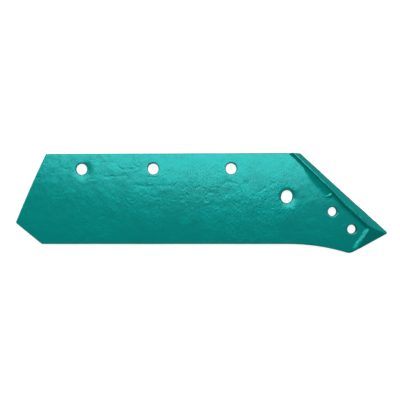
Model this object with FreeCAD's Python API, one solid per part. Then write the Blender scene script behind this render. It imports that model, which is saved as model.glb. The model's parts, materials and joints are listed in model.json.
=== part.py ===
import FreeCAD, Part
import math
import os

from FreeCAD import Vector

# A left-hand plough share, forged in one piece from flat bar. It lies on its working face.
# X runs along the joint edge from the heel to the point, Y runs across the blade from the
# cutting edge to the joint edge, and Z is up, through the rear face that bolts to the frog.
# While it is built, the first frog bolt hole is at X = Y = 0 and the joint edge rests at Z = 0.
# Sizes are in millimetres and angles in degrees.

# Plan of the blade
joint_edge_to_holes = 22.0
heel_to_hole_1 = 50.4
hole_1_to_hole_2 = 101.0
hole_2_to_hole_3 = 110.0
hole_3_to_landside = 99.2
blade_width = 127.5
cutting_edge_flare = 0.2
heel_rake = 24.0
heel_edge_bow = 0.7
heel_clip_height = 30.3
heel_clip_angle = 39.5
landside_angle = 42.4
tip_above_edge = 15.6
nose_front_angle = 27.3
nose_drop = 13.6
nose_drop_radius = 286.0
corner_radius = 2.5
nose_corner_radius = 12.0

# Section of the blade: a flat bar, slightly bowed, ground to an edge from the working face
thickness = 11.0
bow_radius = 1300.0
bevel_width = 28.0
cutting_edge_thickness = 4.0
edge_rounding = 1.2

# Frog bolt holes, countersunk for plough bolts from the working face
frog_hole_diameter = 15.5
frog_sink_diameter = 25.0
sink_half_angle = 45.0

# Fourth frog bolt hole: oval, near the point, in a shallow dish pressed by its punch
oval_from_hole_3 = 78.5
oval_below_holes = 39.7
oval_width = 15.8
oval_length = 18.2
oval_lean = 11.3
dish_diameter = 28.0
dish_depth = 0.9

# Holes of the bolt-on point, in a row beside the landside
point_hole_diameter = 12.8
point_hole_pitch = 37.1
point_hole_from_tip = 43.2
point_hole_inset = 31.9

# Landside flange: a bank along the landside edge of the rear face
flange_height = 8.0
flange_width_joint = 8.3
flange_width_lip = 11.6
flange_width_pocket = 14.2
flange_wall_lean = 15.0
root_reach = 3.2
root_rise = 3.0

# Lean of the landside face from upright, at the joint edge, beside the pocket and at the nose
lean_at_joint = 21.0
lean_at_pocket = 28.5
lean_at_nose = 38.0
lean_at_tip = 50.0
nose_lean_from_tip = 31.5
nose_twist_length = 12.0

# Nut pocket: the lip that closes it towards the joint edge, and the web that runs up to the lip
lip_from_tip = 98.5
lip_ramp_length = 5.5
lip_step = 0.8
lip_reach = 9.0
lip_rise = 5.5
web_from_joint = 27.0
web_start_length = 4.0
web_reach = 9.5
web_start_rise = 1.8
web_end_rise = 3.4
pocket_taper_length = 23.0

# Nose: a step closes the pocket towards the point, and one facet falls from it to the tip
tip_thickness = 2.2
facet_slope = 24.5
step_from_tip = 26.7
step_inset = 18.5
step_angle = 9.2
step_bend_inset = 37.0
step_end_angle = 12.0

# How far cutting and trimming bodies run past the share
margin = 30.0


def direction(angle):
    """A level unit vector at an angle from +X towards +Y."""
    return Vector(math.cos(math.radians(angle)), math.sin(math.radians(angle)), 0)


def slope(angle):
    return math.tan(math.radians(angle))


def crossing(start, angle, other_start, other_angle):
    """Where a line from start at an angle meets a second such line."""
    along = direction(angle)
    other = direction(other_angle)
    apart = other_start - start
    turn = along.x * other.y - along.y * other.x
    return start + along * ((apart.x * other.y - apart.y * other.x) / turn)


# Corners of the plan, from the first frog hole
hole_3_x = hole_1_to_hole_2 + hole_2_to_hole_3
heel_top = Vector(-heel_to_hole_1, joint_edge_to_holes, 0)
landside_top = Vector(hole_3_x + hole_3_to_landside, joint_edge_to_holes, 0)
cutting_edge_start = heel_top - Vector(0, blade_width, 0)
edge_along = direction(-cutting_edge_flare)
edge_inward = Vector(-edge_along.y, edge_along.x, 0)
heel_heading = -90 - heel_rake


def on_line_beside_edge(start, angle, inward):
    """Where a line from start meets the parallel to the cutting edge that far inward of it."""
    return crossing(start, angle, cutting_edge_start + edge_inward * inward, -cutting_edge_flare)


heel_low = on_line_beside_edge(heel_top, heel_heading, heel_clip_height)
clip_low = on_line_beside_edge(heel_low, -heel_clip_angle, 0)
tip = on_line_beside_edge(landside_top, -landside_angle, tip_above_edge)
nose_corner = on_line_beside_edge(tip, nose_front_angle, -nose_drop)
landside_length = (tip - landside_top).Length
nose_front_length = (tip - nose_corner).Length

# The cutting edge turns down to the nose corner along an arc that leaves it smoothly
drop_run = math.sqrt(nose_drop_radius ** 2 - (nose_drop_radius - nose_drop) ** 2)
corner_along = (nose_corner - cutting_edge_start).dot(edge_along)
drop_start = cutting_edge_start + edge_along * (corner_along - drop_run)
drop_centre = drop_start - edge_inward * nose_drop_radius

# The bow's crown lies midway between the two lines that the blade rests on
bevel_line_y = cutting_edge_start.y + bevel_width
crown_y = (joint_edge_to_holes + bevel_line_y) / 2
bow_centre_z = -math.sqrt(bow_radius ** 2 - (joint_edge_to_holes - crown_y) ** 2)
flange_top = thickness + flange_height
below = -margin
above = flange_top + margin
buried = thickness / 2

# Places along the landside edge, measured from the joint edge
lip_at = landside_length - lip_from_tip
nose_lean_at = landside_length - nose_lean_from_tip


def front_height(y):
    return bow_centre_z + math.sqrt(bow_radius ** 2 - (y - crown_y) ** 2)


def rear_height(y):
    return bow_centre_z + math.sqrt((bow_radius + thickness) ** 2 - (y - crown_y) ** 2)


def beside_landside(along, inset, z):
    """A point along the landside edge from the joint edge, and inwards from that edge."""
    foot = landside_top + direction(-landside_angle) * along
    point = foot + direction(-90 - landside_angle) * inset
    return Vector(point.x, point.y, z)


def upright_corner(prism, corner):
    """The upright edge of a prism that stands on a corner of the plan."""
    def distance(edge):
        middle = edge.CenterOfMass
        return math.hypot(middle.x - corner.x, middle.y - corner.y)

    upright = [edge for edge in prism.Edges if abs(edge.BoundBox.ZLength - (above - below)) < 1]
    return min(upright, key=distance)


def plan_prism():
    """The share's plan, as an upright prism with its corners rounded."""
    drop_middle = drop_centre + (drop_start + nose_corner - drop_centre * 2).normalize() * nose_drop_radius
    heel_middle = (heel_top + heel_low) / 2 + direction(heel_heading - 90) * heel_edge_bow
    edges = [
        Part.Arc(heel_top, heel_middle, heel_low).toShape(),
        Part.LineSegment(heel_low, clip_low).toShape(),
        Part.LineSegment(clip_low, drop_start).toShape(),
        Part.Arc(drop_start, drop_middle, nose_corner).toShape(),
        Part.LineSegment(nose_corner, tip).toShape(),
        Part.LineSegment(tip, landside_top).toShape(),
        Part.LineSegment(landside_top, heel_top).toShape(),
    ]
    plan = Part.Face(Part.Wire(edges))
    plan.translate(Vector(0, 0, below))
    prism = plan.extrude(Vector(0, 0, above - below))
    small = [upright_corner(prism, corner) for corner in (heel_top, heel_low, clip_low, landside_top, tip)]
    prism = prism.makeFillet(corner_radius, small)
    return prism.makeFillet(nose_corner_radius, [upright_corner(prism, nose_corner)])


def bowed_bar():
    """Flat bar with a slight bow across its width, longer and wider than the blade."""
    low = nose_corner.y - margin
    high = joint_edge_to_holes + margin
    start = heel_low.x - margin
    rear = [Vector(start, y, rear_height(y)) for y in (low, crown_y, high)]
    front = [Vector(start, y, front_height(y)) for y in (high, crown_y, low)]
    section = Part.Wire([
        Part.Arc(*rear).toShape(),
        Part.LineSegment(rear[-1], front[0]).toShape(),
        Part.Arc(*front).toShape(),
        Part.LineSegment(front[-1], rear[0]).toShape(),
    ])
    return Part.Face(section).extrude(Vector(tip.x + margin - start, 0, 0))


def blade():
    """The bar trimmed to the plan, with the rear edges of its heel and joint edge rounded over."""
    trimmed = bowed_bar().common(plan_prism())
    rolled = []
    for edge in trimmed.Edges:
        middle = edge.CenterOfMass
        above_cutting_edge = (middle - cutting_edge_start).dot(edge_inward) > corner_radius
        if edge.BoundBox.ZMin > buried and middle.x < hole_3_x and above_cutting_edge:
            rolled.append(edge)
    return trimmed.makeFillet(edge_rounding, rolled)


def bank_section(place, back, width, reach, rise, floor):
    """Section of a bank that rises from the rear face: flat top, leaning wall, hollow root.

    The root leaves the wall at its rise above the floor and runs out level at its reach.
    """
    wall = slope(flange_wall_lean)
    root_top = width + (flange_top - floor - rise) * wall
    root_end = width + (flange_top - floor) * wall + reach
    radius = ((root_end - root_top) ** 2 + rise ** 2) / (2 * rise)
    half_turn = math.asin((root_end - root_top) / radius) / 2
    root_middle = (root_end - radius * math.sin(half_turn), floor + radius * (1 - math.cos(half_turn)))
    root = [place(root_top, floor + rise), place(*root_middle), place(root_end, floor)]
    bottom = [place(root_end, buried), place(back, buried)]
    top = [place(back, flange_top), place(width, flange_top)]
    corners = [root[2]] + bottom + top + [root[0]]
    edges = [Part.LineSegment(start, end).toShape() for start, end in zip(corners, corners[1:])]
    return Part.Wire(edges + [Part.Arc(*root).toShape()])


def landside_flange():
    """The bank along the landside edge, with the web, the lip and the pocket's side wall."""
    web_at = web_from_joint
    pocket_at = lip_at + lip_step
    width_growth = (flange_width_lip - flange_width_joint) / lip_at

    def width_before_lip(along):
        return flange_width_joint + width_growth * along

    stations = [
        (-margin, flange_width_joint, root_reach, root_rise),
        (0, flange_width_joint, root_reach, root_rise),
        (web_at, width_before_lip(web_at), root_reach, root_rise),
        (web_at + web_start_length, width_before_lip(web_at + web_start_length), web_reach, web_start_rise),
        (lip_at - lip_ramp_length, width_before_lip(lip_at - lip_ramp_length), web_reach, web_end_rise),
        (lip_at, flange_width_lip, lip_reach, lip_rise),
        (pocket_at, flange_width_lip, root_reach, root_rise),
        (pocket_at + pocket_taper_length, flange_width_pocket, root_reach, root_rise),
        (landside_length + margin, flange_width_pocket, root_reach, root_rise),
    ]
    sections = []
    for along, width, reach, rise in stations:

        def place(inset, z, along=along):
            return beside_landside(along, inset, z)

        floor = rear_height(place(width + reach, 0).y)
        sections.append(bank_section(place, -margin, width, reach, rise, floor))
    return Part.makeLoft(sections, True, True)


def nose_bank():
    """The raised nose, whose step closes the pocket towards the point, with one bend in it."""
    step_at = landside_length - step_from_tip
    bend_at = step_at + (step_bend_inset - step_inset) * slope(step_angle)
    stations = [
        (step_at - step_inset * slope(step_angle), 0),
        (bend_at, step_bend_inset),
        (bend_at + nose_front_length * slope(step_end_angle), step_bend_inset + nose_front_length),
    ]
    sections = []
    for along, inset in stations:

        def place(out, z, along=along, inset=inset):
            return beside_landside(along - out, inset, z)

        floor = rear_height(place(0, 0).y)
        width = -(flange_top - floor) * slope(flange_wall_lean)
        sections.append(bank_section(place, -2 * margin, width, root_reach, root_rise, floor))
    return Part.makeLoft(sections, True, True)


def landside_relief():
    """What is cut away outside the landside face, which leans more and more towards the tip."""
    stations = [
        (-margin, lean_at_joint),
        (lip_at, lean_at_pocket),
        (nose_lean_at - nose_twist_length, lean_at_pocket),
        (nose_lean_at, lean_at_nose),
        (landside_length + margin / 3, lean_at_tip),
    ]
    outside = -3 * margin
    sections = []
    for along, lean in stations:
        face = [(slope(lean) * z, z) for z in (below, above)]
        corners = face + [(outside, above), (outside, below)]
        points = [beside_landside(along, inset, z) for inset, z in corners]
        sections.append(Part.makePolygon(points + points[:1]))
    return Part.makeLoft(sections, True, True)


def nose_facet():
    """What is cut away above the facet that falls to the tip."""
    start = landside_length / 2
    end = landside_length + margin
    heights = [tip_thickness + (landside_length - along) * slope(facet_slope) for along in (start, end)]
    roof = heights[0] + above
    corners = [(start, heights[0]), (end, heights[1]), (end, roof), (start, roof)]
    points = [beside_landside(along, -margin, z) for along, z in corners]
    face = Part.Face(Part.makePolygon(points + points[:1]))
    return face.extrude(direction(-90 - landside_angle) * (blade_width + 2 * margin))


def cutting_bevel():
    """What is ground off the working face behind the cutting edge and round the nose drop."""
    height = rear_height(cutting_edge_start.y) - cutting_edge_thickness
    fall = height / bevel_width
    outer = -margin / 3
    inner = bevel_width + margin / 3
    profile = [(outer, height - outer * fall), (inner, height - inner * fall), (inner, below), (outer, below)]
    points = [drop_start + edge_inward * inward + Vector(0, 0, z) for inward, z in profile]
    face = Part.Face(Part.makePolygon(points + points[:1]))
    straight = face.extrude(edge_along * -(drop_start.x - heel_low.x + margin))
    turn = math.degrees(math.asin(drop_run / nose_drop_radius)) * 2
    return straight.fuse(face.revolve(drop_centre, Vector(0, 0, 1), -turn))


def slot_wire(centre, width, length, heading, z):
    """A level slot outline, with round ends, about a centre."""
    along = direction(heading) * ((length - width) / 2)
    across = direction(heading + 90) * (width / 2)
    end = direction(heading) * (length / 2)
    middle = Vector(centre.x, centre.y, z)
    return Part.Wire([
        Part.LineSegment(middle - along + across, middle + along + across).toShape(),
        Part.Arc(middle + along + across, middle + end, middle + along - across).toShape(),
        Part.LineSegment(middle + along - across, middle - along - across).toShape(),
        Part.Arc(middle - along - across, middle - end, middle - along + across).toShape(),
    ])


def turned(centre, outline):
    """A body turned about an upright axis from (radius, height) edges, with its seam facing +Y.

    A seam in that direction keeps the cuts through the bowed faces sound.
    """
    half = Part.Face(Part.Wire(outline(lambda out, z: Vector(centre.x, centre.y + out, z))))
    return half.revolve(Vector(centre.x, centre.y, 0), Vector(0, 0, 1), 360)


def turned_profile(centre, corners):
    def outline(place):
        points = [place(out, z) for out, z in corners]
        return Part.makePolygon(points + points[:1]).Edges

    return turned(centre, outline)


def countersunk_hole(centre):
    """A round bolt hole, sunk from the working face for the bolt's cone head."""
    face = front_height(centre.y)
    radius = frog_hole_diameter / 2
    sink_depth = (frog_sink_diameter / 2 - radius) / slope(sink_half_angle)
    wide = frog_sink_diameter / 2 + sink_depth * slope(sink_half_angle)
    cone = [(0, face - sink_depth), (wide, face - sink_depth), (radius, face + sink_depth)]
    return turned_profile(centre, cone + [(radius, above), (0, above)])


def oval_hole(centre):
    """The oval bolt hole, sunk from the working face like the round ones."""
    face = front_height(centre.y)
    heading = 90 - oval_lean
    growth = frog_sink_diameter - frog_hole_diameter
    depth = growth / 2 / slope(sink_half_angle)
    wide = slot_wire(centre, oval_width + 2 * growth, oval_length + 2 * growth, heading, face - depth)
    narrow = slot_wire(centre, oval_width, oval_length, heading, face + depth)
    sink = Part.makeLoft([wide, narrow], True, True)
    bore = Part.Face(slot_wire(centre, oval_width, oval_length, heading, face))
    return sink.fuse(bore.extrude(Vector(0, 0, above - face)))


def punch_dish(centre):
    """The shallow round hollow that the punch pressed into the rear face."""
    radius = ((dish_diameter / 2) ** 2 + dish_depth ** 2) / (2 * dish_depth)
    floor = rear_height(centre.y) - dish_depth

    def outline(place):
        spots = []
        for out in (0, dish_diameter / 2, dish_diameter):
            spots.append(place(out, floor + radius - math.sqrt(radius ** 2 - out ** 2)))
        roof = [spots[2], place(dish_diameter, above), place(0, above), spots[0]]
        return [Part.Arc(*spots).toShape()] + Part.makePolygon(roof).Edges

    return turned(centre, outline)


def point_hole(along):
    centre = beside_landside(along, point_hole_inset, 0)
    radius = point_hole_diameter / 2
    return turned_profile(centre, [(0, below), (radius, below), (radius, above), (0, above)])


def all_holes():
    oval = Vector(hole_3_x + oval_from_hole_3, -oval_below_holes, 0)
    last = landside_length - point_hole_from_tip
    return [
        countersunk_hole(Vector(0, 0, 0)),
        countersunk_hole(Vector(hole_1_to_hole_2, 0, 0)),
        countersunk_hole(Vector(hole_3_x, 0, 0)),
        oval_hole(oval),
        punch_dish(oval),
        point_hole(last - point_hole_pitch),
        point_hole(last),
    ]


def plough_share():
    raised = landside_flange().fuse(nose_bank()).common(plan_prism())
    share = blade().fuse(raised)
    share = share.cut([landside_relief(), nose_facet(), cutting_bevel()])
    share = share.cut(all_holes()).removeSplitter()
    box = share.optimalBoundingBox(False, False)
    share.translate(Vector(-box.Center.x, -box.Center.y, -box.ZMin))
    return share


os.makedirs("parts", exist_ok=True)
share = plough_share()
print("solids", len(share.Solids), "valid", share.isValid(), "volume", round(share.Volume))
print("box", share.optimalBoundingBox(False, False))
share.Solids[0].exportStep("parts/plough_share.step")
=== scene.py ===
import json
import math
import random

import bpy
import numpy as np
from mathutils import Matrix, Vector

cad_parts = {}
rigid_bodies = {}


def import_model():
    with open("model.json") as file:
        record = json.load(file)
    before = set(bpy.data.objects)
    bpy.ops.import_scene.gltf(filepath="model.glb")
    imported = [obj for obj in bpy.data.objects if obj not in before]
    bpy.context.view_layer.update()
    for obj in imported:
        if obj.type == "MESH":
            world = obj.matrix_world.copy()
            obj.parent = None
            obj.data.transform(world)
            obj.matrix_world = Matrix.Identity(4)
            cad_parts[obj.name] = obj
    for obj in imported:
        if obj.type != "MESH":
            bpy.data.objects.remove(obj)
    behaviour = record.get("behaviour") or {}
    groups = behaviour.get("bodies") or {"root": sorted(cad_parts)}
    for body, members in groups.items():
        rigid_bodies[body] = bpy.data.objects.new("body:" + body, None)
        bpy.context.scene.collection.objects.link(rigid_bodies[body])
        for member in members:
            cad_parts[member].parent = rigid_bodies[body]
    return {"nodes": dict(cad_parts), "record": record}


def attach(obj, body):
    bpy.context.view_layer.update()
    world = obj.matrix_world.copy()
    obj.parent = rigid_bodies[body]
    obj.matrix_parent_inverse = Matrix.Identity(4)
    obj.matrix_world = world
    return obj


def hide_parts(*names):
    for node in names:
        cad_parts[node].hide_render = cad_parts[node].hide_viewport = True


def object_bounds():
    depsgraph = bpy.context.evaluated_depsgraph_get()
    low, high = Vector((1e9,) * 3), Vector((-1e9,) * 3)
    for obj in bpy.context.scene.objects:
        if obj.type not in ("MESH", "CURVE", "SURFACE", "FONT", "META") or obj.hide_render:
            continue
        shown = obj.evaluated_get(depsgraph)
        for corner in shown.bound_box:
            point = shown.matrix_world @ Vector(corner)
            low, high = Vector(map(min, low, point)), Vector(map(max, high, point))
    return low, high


# The share lies on its working face, with its rear face up. X runs along the joint edge towards
# the point, Y from the cutting edge to the joint edge. Lengths are in metres, apart from those
# under a heading that says millimetres and names that end in _mm. Angles are in degrees.
MM = 0.001

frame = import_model()
cad_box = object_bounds()

# The bow across the blade: both faces are arcs about one line that runs along X
rear_bow_radius = 1311 * MM
front_bow_radius = 1300 * MM
bow_crown_y = 21.08 * MM
rear_crown_z = 13.02 * MM
bow_centre_z = rear_crown_z - rear_bow_radius
facet_error = 0.12 * MM
bow_blend_end = 0.5 * MM

# A point lies on a level face where more of its normal than this points up or down
level_facing = 0.9

# The skin is modelled in fine squares and then thinned to what a piece may hold
weld_distance = 0.01 * MM
skin_grain = 0.6 * MM
most_triangles = 190000
bore_margin = 0.3 * MM
rear_side_z = 9 * MM

# The upper edges, from their lowest point and by how much of their normal points up
lowest_upper_edge = 6.5 * MM
least_edge_upward = 0.2
most_edge_upward = 0.93
edge_rings = 3
edge_rounds = 8

# How far each blend reaches and how many rounds of smoothing it has. A blend is full over the
# first third of its reach and fades from there in levels.
skin_rounds = 3
blend_levels = 5
full_blend = 1.5
web_blend = (7 * MM, 160)
nose_step_blend = (2.8 * MM, 90)
nose_step_end_blend = (6 * MM, 200)
crest_blend = (2 * MM, 8)
lip_edge_blend = (2 * MM, 2)
landside_foot_rounds = 12

# How deep each kind of mark is pressed and how far round it the skin is drawn along
dish_radius = 8 * MM
dish_depth = 0.5 * MM
dish_reach = 9 * MM
rim_roll = (0.08 * MM, 1.8 * MM)
lap_press = (0.075 * MM, 2.6 * MM)
dent_press = (0.07 * MM, 1.8 * MM)
blister_lift = (-0.06 * MM, 1.5 * MM)
peck_count = 30

# Length and height of the skin's waves
forging_waves = (45 * MM, 0.3 * MM)
hammer_ripple = (9 * MM, 0.15 * MM)

# Marks that rolling and forging left on the rear face: strokes of x, y to x, y in millimetres
rolling_laps = [
    (-137, 37.8, -122.6, 38.3), (-122.6, 38.3, -107, 39.1), (-93, 27, -84.6, 24.6),
    (-84.6, 24.6, -45, 25.3), (31.7, 28.4, 38, 30.4), (38, 30.4, 47.2, 27.8),
    (-112, 48.9, -96, 48.2),
]
scratches = [
    (-41, 24, -36.7, 28.2), (-26.8, 19.7, -22.6, 23.9), (-8.5, 20.4, -2.8, 24.6),
    (57.8, 26.5, 62, 30.7), (63.5, 27.2, 66.3, 31.4), (80.3, 15.8, 89.5, 21.4),
    (96, 24.2, 100, 28.4), (-118.3, 53.2, -114, 49), (-95.8, 54.5, -90.2, 50.3),
]
dents = [
    (-138.8, 58.2, -136, 58.5), (-126.8, 58, -126, 58), (-122, 57.4, -121, 57.4),
    (-221.3, 56.7, -219, 57.8), (-205.2, 9.5, -203.4, 9.5), (-144, -18.6, -137.6, -18),
    (-166.4, 31.5, -154.4, 35.3), (-193, 48.7, -186, 50.3), (-232.6, 36.7, -228.4, 37.4),
    (-76, 37.5, -64.8, 37.5), (-8.5, 21.8, -2.8, 24.6), (7, 14.7, 14, 16),
]
blisters = [
    (50, 13.8, 51.8, 15.6), (-29.7, 9.2, -28.3, 8.5), (-30.4, 0.7, -27, 0.7),
    (-98.8, 10.8, -96, 9.4), (-99.5, 1, -96.7, 1.2), (5.6, 9.7, 7, 9), (5.5, 0.6, 8.4, 0.6),
    (63.4, 10.2, 64.8, 8.8), (63.4, 0.4, 66.2, 0.4), (-235.4, 24.5, -235, 24.5),
    (-214.3, 40.6, -210, 41.4), (-193.2, 14.7, -189, 15.7), (151, 40.8, 155.5, 37.6),
    (157, 34, 158.5, 32.4), (168.4, 24.9, 168.9, 24.6), (172.4, 20.4, 172.9, 20.1),
    (165.5, 18.9, 166, 18.6),
]

# Where the step of the nose is blended and two holes are dished, as strokes of the same kind
nose_step = [(232, -38, 225.6, -50), (225.6, -50, 219, -61)]
nose_step_end = [(220, -59, 212, -69)]
dished_holes = [(-168.5, 47.5, -167.5, 46.5), (120.5, 8, 122, 6)]

# The landside in millimetres. Its corner with the joint edge is x, y. Strokes and places are along
# the landside from that corner and in from it, and heights are above the floor.
landside_corner = (140.36, 70.84)
landside_angle = 42.4
landside_foot = 1.5
web_border = [(24, 15, 30, 15.5), (30, 15.5, 69, 20.5)]
crest = [(0, 8, 50, 8), (50, 8, 100, 12)]
crest_z = 20.06
crest_cut = 2.2
crest_cut_length = 75
pocket_floor_z = 12.97

# The lip over the pocket, in millimetres as above: where its wedge starts and ends, its height
# and slopes, and the widths over which it fades into what is round it
lip_root = 12.5
lip_cut_to = 18
lip_square_to = 19
lip_inner_end = 22.5
lip_start = 66.7
lip_end = 71
lip_slant = 1
lip_foot_z = 13.7
lip_slope = 0.28
lip_side_slope = 0.12
lip_start_fade = 1.2
lip_side_fade = 1
lip_drop_width = 1.5
lip_outline = [(71, 13.5, 71, 19), (71, 19, 68, 22.5)]

# The half width of the oval hole in millimetres, between its short and its long one
oval_mean_radius_mm = 8.5

# Camera, straight above the share
camera_x = -2.9 * MM
camera_y = 4.84 * MM
camera_height = 1258 * MM
camera_roll = -0.206
camera_angle = 25.51


def only(piece):
    """Select one piece alone and make it active."""
    bpy.ops.object.select_all(action="DESELECT")
    piece.select_set(True)
    bpy.context.view_layer.objects.active = piece


def finish_modifier(piece, kind, **settings):
    """Add a modifier to a piece, set it and apply it."""
    modifier = piece.modifiers.new(kind.lower(), kind)
    for name, value in settings.items():
        setattr(modifier, name, value)
    only(piece)
    bpy.ops.object.modifier_apply(modifier=modifier.name)


def smooth_step(value, low, high):
    """0 below low, 1 above high and a smooth curve between."""
    share = min(max((value - low) / (high - low), 0), 1)
    return share * share * (3 - 2 * share)


def merged_copy(node, name):
    """A copy of a CAD node's mesh with its loose triangles joined up."""
    piece = bpy.data.objects.new(name, frame["nodes"][node].data.copy())
    bpy.context.scene.collection.objects.link(piece)
    only(piece)
    bpy.ops.object.mode_set(mode="EDIT")
    bpy.ops.mesh.select_all(action="SELECT")
    bpy.ops.mesh.remove_doubles(threshold=weld_distance)
    bpy.ops.mesh.customdata_custom_splitnormals_clear()
    bpy.ops.object.mode_set(mode="OBJECT")
    return piece


def true_the_bow(piece):
    """Set the points of the rear and front faces on their true arcs."""
    facing = [vertex.normal.z for vertex in piece.data.vertices]
    for vertex in piece.data.vertices:
        if abs(facing[vertex.index]) < level_facing:
            continue
        radius = rear_bow_radius if facing[vertex.index] > 0 else front_bow_radius
        across = vertex.co.y - bow_crown_y
        height = bow_centre_z + math.sqrt(radius ** 2 - across ** 2)
        gap = vertex.co.z - height
        vertex.co.z -= gap * (1 - smooth_step(abs(gap), facet_error, bow_blend_end))


def true_the_bores(piece):
    """Set the points of the round walls at their bore's true radius."""
    upright = [vertex for vertex in piece.data.vertices if abs(vertex.normal.z) < level_facing]
    for mount in frame["record"]["mounts"]:
        if mount["kind"] != "bore":
            continue
        radius = mount["dims"]["r_mm"] * MM
        centre = Vector(mount["pos_m"][:2])
        for vertex in upright:
            arm = vertex.co.xy - centre
            if abs(arm.length - radius) < bore_margin:
                vertex.co.xy = centre + arm.normalized() * radius


def edit_points(piece, chosen):
    """Go to edit mode with only the chosen points of a piece selected."""
    only(piece)
    bpy.ops.object.mode_set(mode="EDIT")
    bpy.ops.mesh.select_mode(type="VERT")
    bpy.ops.mesh.select_all(action="DESELECT")
    bpy.ops.object.mode_set(mode="OBJECT")
    piece.data.vertices.foreach_set("select", chosen)
    bpy.ops.object.mode_set(mode="EDIT")


def push(piece, chosen, depth, reach, falloff="SMOOTH"):
    """Move the chosen points down by a depth and draw their surroundings along."""
    edit_points(piece, chosen)
    bpy.ops.transform.translate(value=(0, 0, -depth), use_proportional_edit=True,
                                proportional_edit_falloff=falloff, proportional_size=reach)
    bpy.ops.object.mode_set(mode="OBJECT")


def points_of(piece):
    points = np.empty(len(piece.data.vertices) * 3, np.float32)
    piece.data.vertices.foreach_get("co", points)
    return points.reshape(-1, 3)


def put_points(piece, points):
    piece.data.vertices.foreach_set("co", points.ravel())
    piece.data.update()


def stroke_distance(points, strokes):
    """How far each point of the rear side lies from the nearest of some strokes."""
    distance = np.full(len(points), np.inf)
    for start_x, start_y, end_x, end_y in strokes:
        start = np.array((start_x, start_y)) * MM
        run = np.array((end_x, end_y)) * MM - start
        along = np.clip((points[:, :2] - start) @ run / (run @ run), 0, 1)
        arm = np.linalg.norm(points[:, :2] - start - along[:, None] * run, axis=1)
        distance = np.minimum(distance, arm)
    return np.where(points[:, 2] > rear_side_z, distance, np.inf)


def near_strokes(points, strokes, reach):
    """Which points of the rear side lie within a reach of some strokes."""
    return stroke_distance(points, strokes) < reach


def press_strokes(piece, strokes, depth, reach):
    """Press strokes into the rear face, or raise them where the depth is below zero."""
    push(piece, near_strokes(points_of(piece), strokes, skin_grain), depth, reach)


def smooth_points(piece, shares, rounds):
    """Smooth the points of a piece, each by its share from 0 to 1."""
    group = piece.vertex_groups.new(name="worked")
    for level in range(1, blend_levels + 1):
        chosen = np.flatnonzero(shares > (level - 0.5) / blend_levels)
        group.add(chosen.tolist(), level / blend_levels, "REPLACE")
    finish_modifier(piece, "SMOOTH", factor=0.5, iterations=rounds, vertex_group="worked")
    piece.vertex_groups.clear()


def soften(piece, strokes, reach, rounds):
    """Blend the shape along some strokes, as a grinder does, and less so towards the reach."""
    shares = full_blend - full_blend * stroke_distance(points_of(piece), strokes) / reach
    smooth_points(piece, shares, rounds)


def soften_edges(piece):
    """Round the upper edges a little more, as thick paint does."""
    normals = np.empty(len(piece.data.vertices) * 3, np.float32)
    piece.data.vertices.foreach_get("normal", normals)
    upward = normals[2::3]
    on_edge = (upward > least_edge_upward) & (upward < most_edge_upward)
    edit_points(piece, on_edge & (points_of(piece)[:, 2] > lowest_upper_edge))
    for ring in range(edge_rings):
        bpy.ops.mesh.select_more()
    bpy.ops.object.mode_set(mode="OBJECT")
    chosen = np.empty(len(upward), bool)
    piece.data.vertices.foreach_get("select", chosen)
    smooth_points(piece, chosen, edge_rounds)


def by_landside(strokes):
    """Strokes along and in from the landside, as strokes of x, y."""
    turn = math.radians(landside_angle)
    corner_x, corner_y = landside_corner

    def place(along, inward):
        return (corner_x + along * math.cos(turn) - inward * math.sin(turn),
                corner_y - along * math.sin(turn) - inward * math.cos(turn))

    return [place(*stroke[:2]) + place(*stroke[2:]) for stroke in strokes]


def landside_places(points):
    """Where points lie in millimetres along the landside and in from it."""
    turn = math.radians(landside_angle)
    offset = points[:, :2] / MM - landside_corner
    along = offset @ (math.cos(turn), -math.sin(turn))
    inward = offset @ (-math.sin(turn), -math.cos(turn))
    return along, inward


def soften_landside_foot(piece):
    """Even out the lower edge of the landside face."""
    points = points_of(piece)
    inward = landside_places(points)[1]
    on_foot = (inward < landside_foot) & (points[:, 2] < landside_foot * MM)
    smooth_points(piece, on_foot, landside_foot_rounds)


def fade_in(value, start, length):
    """0 up to the start, 1 beyond the length from there and even between."""
    return np.clip((value - start) / length, 0, 1)


def shape_lip(piece):
    """Raise the lip over the pocket as a wedge that drops to the pocket's floor."""
    points = points_of(piece)
    along, inward = landside_places(points)
    height = points[:, 2] / MM
    edge = lip_end - lip_slant * np.maximum(inward - lip_square_to, 0)
    wedge = lip_foot_z + lip_slope * (np.minimum(along, edge) - lip_start)
    wedge += lip_side_slope * (lip_cut_to - inward)
    wedge = np.where((inward > lip_cut_to) & (along < edge), np.maximum(wedge, height), wedge)
    wedge += (pocket_floor_z - wedge) * fade_in(along, edge, lip_drop_width)
    share = fade_in(along, lip_start - lip_start_fade / 2, lip_start_fade)
    share = share * (1 - fade_in(along, lip_end + lip_drop_width, lip_side_fade))
    sides = fade_in(inward, lip_root, lip_side_fade)
    share *= sides * (1 - fade_in(inward, lip_inner_end, lip_side_fade))
    share = np.where(points[:, 2] > rear_side_z, share, 0)
    points[:, 2] += (wedge - height) * share * MM
    put_points(piece, points)


def flatten_crest(piece):
    """Lower the flange's crest towards the joint edge."""
    points = points_of(piece)
    along, inward = landside_places(points)
    cut = crest_z - crest_cut * np.clip(1 - along / crest_cut_length, 0, 1)
    on_flange = (inward < lip_root) & (along < crest_cut_length)
    points[:, 2] = np.where(on_flange, np.minimum(points[:, 2], cut * MM), points[:, 2])
    put_points(piece, points)


def roll_rims(piece):
    """Draw the rear rims of the bores down, as the punch left them."""
    points = points_of(piece)
    chosen = np.zeros(len(points), bool)
    for mount in frame["record"]["mounts"]:
        if mount["kind"] == "bore":
            arm = np.linalg.norm(points[:, :2] - np.array(mount["pos_m"][:2]), axis=1)
            chosen |= np.abs(arm - mount["dims"]["r_mm"] * MM) < skin_grain
    push(piece, chosen & (points[:, 2] > rear_side_z), *rim_roll)


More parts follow.
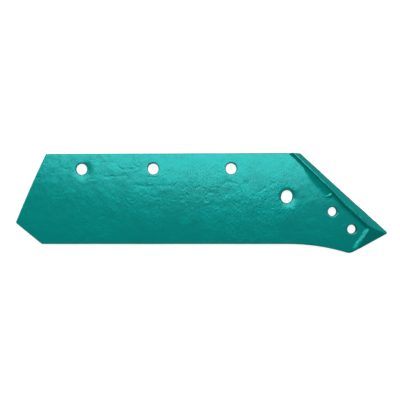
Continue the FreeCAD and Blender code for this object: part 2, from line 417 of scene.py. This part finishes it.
def pecks(count, seed):
    """Short slanting marks in millimetres, scattered over the middle of the blade."""
    chance = random.Random(seed)
    strokes = []
    for number in range(count):
        x = chance.uniform(-120, 110)
        y = chance.gauss(6, 13)
        length = chance.uniform(0.6, 3)
        slant = math.radians(chance.choice((45, 50, -35)) + chance.uniform(-12, 12))
        strokes.append((x, y, x + length * math.cos(slant), y + length * math.sin(slant)))
    return strokes


def keep_in_box(piece):
    """Flatten what stands out of the solid's box, as under the share, where it lies level."""
    put_points(piece, np.clip(points_of(piece), cad_box[0], cad_box[1]))


def waves(name, size, depth):
    """Settings for a soft noise that moves a surface in and out by half its depth."""
    texture = bpy.data.textures.new(name, "CLOUDS")
    texture.noise_scale = size
    texture.noise_depth = 2
    return {"texture": texture, "strength": depth, "mid_level": 0.5, "texture_coords": "LOCAL"}


def forged_share():
    """The share's forging: an even mesh with softened edges and a forged, slightly wavy skin."""
    share = merged_copy("plough_share", "share_forging")
    finish_modifier(share, "REMESH", mode="VOXEL", voxel_size=skin_grain, use_smooth_shade=True)
    true_the_bow(share)
    true_the_bores(share)
    finish_modifier(share, "SMOOTH", factor=0.5, iterations=skin_rounds)
    soften(share, by_landside(web_border), *web_blend)
    soften_edges(share)
    soften_landside_foot(share)
    soften(share, nose_step, *nose_step_blend)
    soften(share, by_landside(crest), *crest_blend)
    soften(share, nose_step_end, *nose_step_end_blend)
    shape_lip(share)
    flatten_crest(share)
    soften(share, by_landside(lip_outline), *lip_edge_blend)
    dished = near_strokes(points_of(share), dished_holes, dish_radius)
    push(share, dished, dish_depth, dish_reach, "SHARP")
    roll_rims(share)
    press_strokes(share, rolling_laps, *lap_press)
    press_strokes(share, dents + scratches + pecks(peck_count, seed=7), *dent_press)
    press_strokes(share, blisters + pecks(peck_count, seed=8), *blister_lift)
    finish_modifier(share, "DISPLACE", **waves("forging_waves", *forging_waves))
    finish_modifier(share, "DISPLACE", **waves("hammer_ripple", *hammer_ripple))
    thinned = most_triangles / (2 * len(share.data.polygons))
    finish_modifier(share, "DECIMATE", decimate_type="COLLAPSE", ratio=thinned)
    keep_in_box(share)
    only(share)
    bpy.ops.object.shade_smooth()
    return share


class Signal:
    """A shader socket that can be used in sums."""

    def __init__(self, paint, socket):
        self.paint = paint
        self.socket = socket

    def maths(self, operation, first, second):
        return self.paint.add("ShaderNodeMath", {"operation": operation}, {0: first, 1: second})

    def __add__(self, other):
        return self.maths("ADD", self, other)

    def __radd__(self, other):
        return self.maths("ADD", other, self)

    def __mul__(self, other):
        return self.maths("MULTIPLY", self, other)

    def __rmul__(self, other):
        return self.maths("MULTIPLY", other, self)


class Paint:
    """A material that is built node by node."""

    def __init__(self, name):
        self.material = bpy.data.materials.new(name)
        self.material.use_nodes = True
        self.tree = self.material.node_tree
        self.tree.nodes.clear()

    def add(self, kind, settings=None, inputs=None, output=0):
        """A new node with its settings and inputs set. Gives back one of its outputs."""
        node = self.tree.nodes.new(kind)
        for name, value in (settings or {}).items():
            setattr(node, name, value)
        for name, value in (inputs or {}).items():
            if isinstance(value, Signal):
                self.tree.links.new(value.socket, node.inputs[name])
            else:
                node.inputs[name].default_value = value
        return Signal(self, node.outputs[output]) if len(node.outputs) else None

    def place(self, turn=0, stretch=(1, 1, 1)):
        """The object's own coordinates, turned about Z and stretched."""
        coordinates = self.add("ShaderNodeTexCoord", output="Object")
        return self.add("ShaderNodeMapping", {"vector_type": "TEXTURE"}, {
            "Vector": coordinates, "Rotation": (0, 0, math.radians(turn)), "Scale": stretch})

    def noise(self, size, detail=2, roughness=0.5, place=None):
        """Soft noise between 0 and 1 with grains of about a size."""
        inputs = {"Scale": 1 / size, "Detail": detail, "Roughness": roughness}
        inputs["Vector"] = place or self.place()
        return self.add("ShaderNodeTexNoise", {"normalize": True}, inputs)

    def ramp(self, value, low, high):
        """0 below low, 1 above high and even between."""
        return self.add("ShaderNodeMapRange", {"interpolation_type": "SMOOTHSTEP"},
                        {"Value": value, "From Min": low, "From Max": high})

    def painted_bore_shade(self, margin):
        """1 on the walls of the bolt holes, where shade is painted in as a dark colour, and 0
        elsewhere.
        """
        flat = self.add("ShaderNodeVectorMath", {"operation": "MULTIPLY"}, {
            0: self.add("ShaderNodeTexCoord", output="Object"), 1: (1, 1, 0)})
        inside = 0
        for mount in frame["record"]["mounts"]:
            radius = mount["dims"].get("r_mm", oval_mean_radius_mm) * MM + margin
            arm = self.add("ShaderNodeVectorMath", {"operation": "DISTANCE"}, {
                0: flat, 1: (*mount["pos_m"][:2], 0)}, output=1)
            inside = self.maths_max(inside, self.ramp(arm, radius + margin, radius))
        return inside

    def maths_max(self, first, second):
        return self.add("ShaderNodeMath", {"operation": "MAXIMUM"}, {0: first, 1: second})

    def mix(self, share, first, second):
        """A colour between two, by a share."""
        inputs = {0: share, 6: first, 7: second}
        return self.add("ShaderNodeMix", {"data_type": "RGBA"}, inputs, output=2)

    def close(self, surface):
        self.add("ShaderNodeOutputMaterial", inputs={"Surface": surface})
        return self.material


def gloss_teal():
    """Gloss teal enamel, sprayed thick over a forged and scaled skin."""
    paint = Paint("gloss_teal_enamel")
    deep = (0.0, 0.208, 0.182, 1)
    light = (0.0, 0.238, 0.212, 1)
    # Painted shade: a near-black teal put on the bolt hole walls in place of real shade there
    painted_shade_colour = (0.012, 0.03, 0.03, 1)
    cloudiness = paint.noise(60 * MM, detail=3)
    colour = paint.mix(cloudiness, deep, light)
    patches = paint.ramp(paint.noise(35 * MM, detail=2), 0.4, 0.65)
    peel = paint.noise(2.2 * MM, detail=1) * (0.03 * MM)
    dimples = paint.noise(5 * MM, detail=2) * (0.075 * MM)
    rising = paint.place(47, (1, 0.25, 1))
    rising_grain = paint.noise(8 * MM, detail=3, roughness=0.6, place=rising)
    falling = paint.place(-40, (1, 0.28, 1))
    falling_grain = paint.noise(7 * MM, detail=3, roughness=0.6, place=falling)
    relief = peel + dimples + (rising_grain + 0.7 * falling_grain) * (0.3 + patches) * (0.2 * MM)
    # The walls of the bolt holes get painted shade rather than their own paint colour
    bore_shade_mask = paint.painted_bore_shade(0.35 * MM)
    bump = paint.add("ShaderNodeBump", inputs={"Strength": 1, "Distance": 1, "Height": relief})
    roughness = 0.16 + paint.noise(9 * MM, detail=3) * 0.12
    surface = paint.add("ShaderNodeBsdfPrincipled", inputs={
        "Base Color": paint.mix(bore_shade_mask, colour, painted_shade_colour), "Roughness": roughness, "Normal": bump,
        "Metallic": 0.3, "Specular IOR Level": 0, "Specular Tint": (0.1, 0.5, 0.5, 1),
        "Coat Weight": 0.033, "Coat Roughness": 0.2, "Coat IOR": 3})
    return paint.close(surface)


def pale_floor():
    """A white floor that is bright by itself, so that it stays plain round the share."""
    paint = Paint("pale_floor")
    tone = paint.mix(paint.noise(0.4, detail=2), (0.28, 0.28, 0.28, 1), (0.32, 0.32, 0.32, 1))
    surface = paint.add("ShaderNodeBsdfPrincipled", inputs={
        "Base Color": tone, "Roughness": 0.9, "Specular IOR Level": 0.1,
        "Emission Color": (1, 1, 1, 1), "Emission Strength": 0.85})
    return paint.close(surface)


def floor():
    bpy.ops.object.select_all(action="DESELECT")
    bpy.ops.mesh.primitive_plane_add(size=8, location=(0, 0, 0))
    plane = bpy.context.object
    plane.name = "floor"
    plane.data.materials.append(pale_floor())


def softbox(name, place, width, depth, brightness, colour, shape="RECTANGLE"):
    """A soft light that faces the share, with its brightness as the share sees it."""
    lamp = bpy.data.lights.new(name, "AREA")
    lamp.shape = shape
    lamp.size = width
    lamp.size_y = depth
    area = width * depth * (math.pi / 4 if shape == "ELLIPSE" else 1)
    lamp.energy = brightness * math.pi * area
    lamp.color = colour
    holder = bpy.data.objects.new(name, lamp)
    bpy.context.scene.collection.objects.link(holder)
    holder.location = place
    holder.rotation_euler = (-Vector(place)).to_track_quat("-Z", "Y").to_euler()


def studio():
    """Three softboxes in a dim room: above and behind the share, at its heel and far behind it."""
    softbox("overhead_light", place=(0.05, 0.435, 1.5), width=1.4, depth=0.8, brightness=6,
            colour=(0.95, 0.98, 1.06), shape="ELLIPSE")
    softbox("side_light", place=(-1.94, 0.63, 1.28), width=1.4, depth=1.1, brightness=4.7,
            colour=(1, 1, 0.93))
    softbox("rear_light", place=(-0.7, 1.9, 1.0), width=2.0, depth=1.0, brightness=5,
            colour=(0.95, 1, 1))
    world = bpy.data.worlds.new("studio")
    world.use_nodes = True
    background = world.node_tree.nodes["Background"]
    background.inputs["Color"].default_value = (1, 1, 0.94, 1)
    background.inputs["Strength"].default_value = 0.15
    bpy.context.scene.world = world
    bpy.context.scene.view_settings.view_transform = "Standard"


def overhead_camera():
    camera = bpy.data.cameras.new("camera")
    camera.sensor_fit = "HORIZONTAL"
    camera.angle = math.radians(camera_angle)
    camera.clip_end = 20
    holder = bpy.data.objects.new("camera", camera)
    holder.location = (camera_x, camera_y, camera_height)
    holder.rotation_euler = (0, 0, math.radians(camera_roll))
    bpy.context.scene.collection.objects.link(holder)
    bpy.context.scene.camera = holder


share = forged_share()
share.data.materials.clear()
share.data.materials.append(gloss_teal())
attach(share, "root")
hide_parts("plough_share")

floor()
studio()
overhead_camera()
